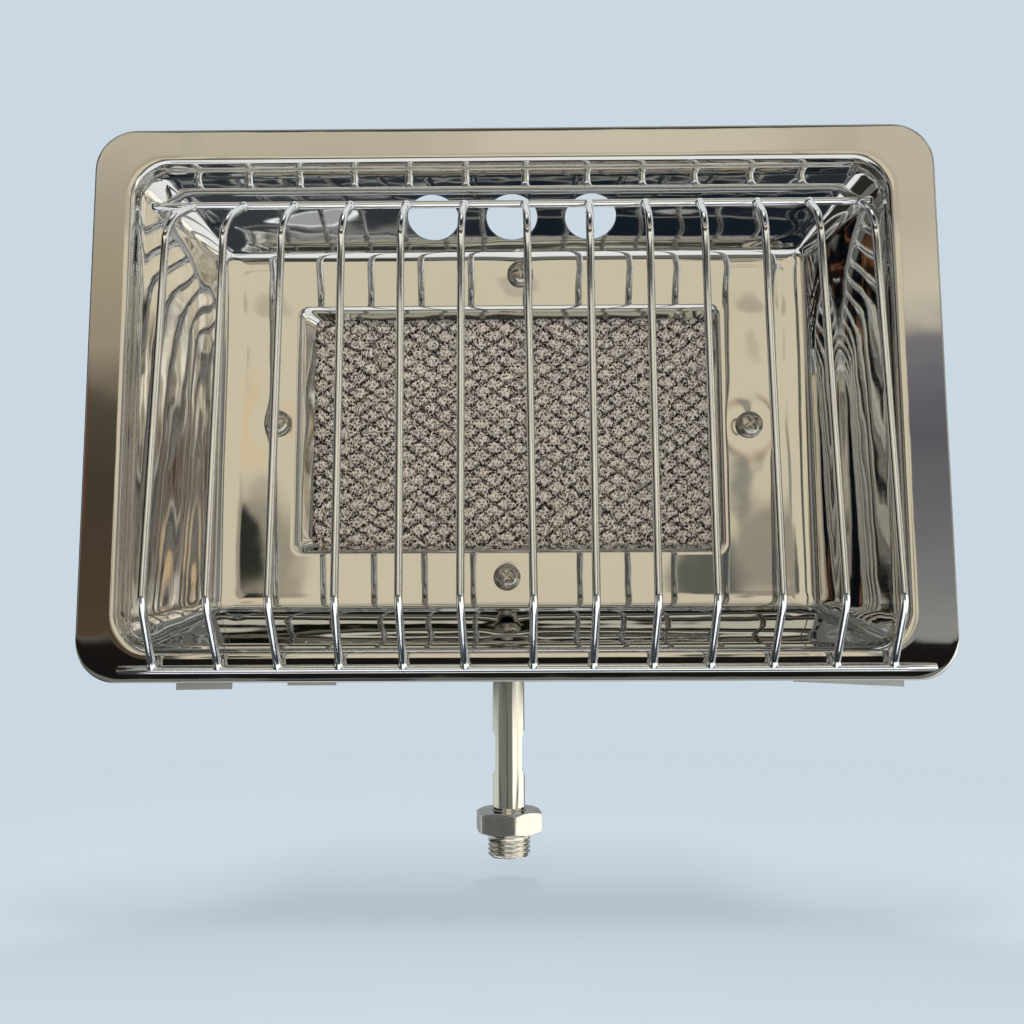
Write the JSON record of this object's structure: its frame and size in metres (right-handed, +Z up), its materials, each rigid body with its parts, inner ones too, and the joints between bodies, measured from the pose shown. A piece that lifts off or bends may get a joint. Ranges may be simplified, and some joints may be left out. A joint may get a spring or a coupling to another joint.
{
  "type": "radiant gas burner head",
  "caption": "Radiant gas burner head: pressed reflector dish with a ceramic plaque, hinged wire guard, and a mixer tube with a threaded gas inlet below.",
  "frame": {"origin": "centre of the inlet fitting's lower end, on the mixer tube's axis", "axes": "+Z up along the mixer tube, the dish faces -Y, +X to the right seen from the front"},
  "size_m": [0.2388, 0.0763, 0.2124],
  "materials": {
    "polished_steel": "mirror-polished pressed stainless sheet",
    "bright_wire": "bright drawn wire, spot-welded",
    "plain_steel": "dull pressed steel",
    "tube_steel": "satin drawn tube",
    "zinc_plate": "turned and zinc-plated steel",
    "screw_steel": "plated pan-head screw",
    "brass": "turned brass",
    "ceramic": "porous perforated ceramic, ridged in a diamond pattern",
    "ceramic_fibre": "soft white fibre seal"
  },
  "bodies": {
    "burner": {"reflector": "polished_steel", "ceramic_plaque": "ceramic", "plaque_gasket": "ceramic_fibre", "burner_pan": "plain_steel", "baffle": "plain_steel", "mixer_tube": "tube_steel", "tube_collar": "tube_steel", "inlet_fitting": "zinc_plate", "gas_jet": "brass", "mounting_strip": "plain_steel", "screw_left": "screw_steel", "screw_right": "screw_steel", "screw_top": "screw_steel", "screw_bottom": "screw_steel", "nut_left": "zinc_plate", "nut_right": "zinc_plate", "nut_top": "zinc_plate", "nut_bottom": "zinc_plate"},
    "guard": {"guard_top_bar": "bright_wire", "guard_bottom_bar": "bright_wire", "guard_rod_01": "bright_wire", "guard_rod_02": "bright_wire", "guard_rod_03": "bright_wire", "guard_rod_04": "bright_wire", "guard_rod_05": "bright_wire", "guard_rod_06": "bright_wire", "guard_rod_07": "bright_wire", "guard_rod_08": "bright_wire", "guard_rod_09": "bright_wire", "guard_rod_10": "bright_wire", "guard_rod_11": "bright_wire", "guard_rod_12": "bright_wire", "guard_rod_13": "bright_wire"}
  },
  "joints": [
    {"name": "guard_hinge", "type": "hinge", "parent": "burner", "child": "guard", "pos_m": [0.0024, -0.042, 0.193], "axis": [-1, 0, 0], "range_deg": [0, 45]}
  ]
}
